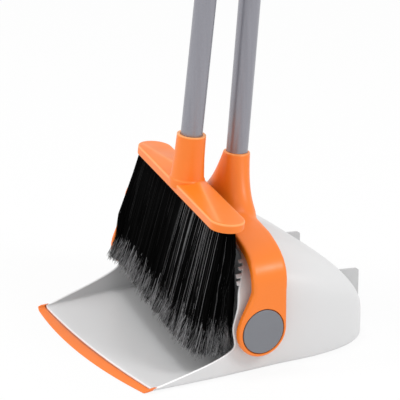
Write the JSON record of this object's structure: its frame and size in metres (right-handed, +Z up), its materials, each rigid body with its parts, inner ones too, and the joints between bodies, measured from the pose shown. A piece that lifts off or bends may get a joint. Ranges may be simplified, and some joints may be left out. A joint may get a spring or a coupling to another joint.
{
  "type": "upright dust pan and brush set",
  "caption": "Upright dust pan with a hooded white shell, a soft front lip and a swinging yoke handle, with a long-handled broom stored in a clip on the handle.",
  "frame": {"origin": "on the ground, in the middle plane of the pan, right under the pivot of the yoke", "axes": "+Z up, +Y towards the closed rear of the pan, so the mouth faces -Y; +X to the right of someone who looks along +Y"},
  "size_m": [0.2716, 0.2921, 0.9613],
  "materials": {
    "shell": "satin moulded polypropylene",
    "lip": "soft moulded edge, satin",
    "foot": "satin",
    "pin": "turned steel",
    "washer": "plain",
    "orange": "satin moulded plastic",
    "grey_plastic": "satin",
    "tube": "smooth painted steel",
    "block": "plain",
    "bristle": "loose black filaments with split grey tips"
  },
  "bodies": {
    "pan": {"pan_shell": "shell", "front_lip": "lip", "rear_foot_left": "foot", "rear_foot_right": "foot", "pivot_pin_left": "pin", "pivot_pin_right": "pin", "pivot_washer_left": "washer", "pivot_washer_right": "washer"},
    "handle": {"yoke": "orange", "pivot_cap_left": "grey_plastic", "pivot_cap_right": "grey_plastic", "pan_tube_lower": "tube", "pan_tube_joint": "grey_plastic", "pan_tube_upper": "tube", "pan_grip": "grey_plastic", "broom_clip": "grey_plastic"},
    "broom": {"broom_head": "orange", "tuft_block": "block", "bristles": "bristle", "broom_tube_lower": "tube", "broom_tube_joint": "grey_plastic", "broom_tube_upper": "tube", "broom_grip": "grey_plastic"}
  },
  "joints": [
    {"name": "pan_swing", "type": "hinge", "parent": "pan", "child": "handle", "pos_m": [0, 0, 0.047], "axis": [1, 0, 0], "range_deg": [0, 80], "deforming": ["bristles"]},
    {"name": "broom_lift", "type": "slide", "parent": "handle", "child": "broom", "axis": [0.0226, 0.1011, 0.9946], "range_m": [0, 0.2]}
  ]
}
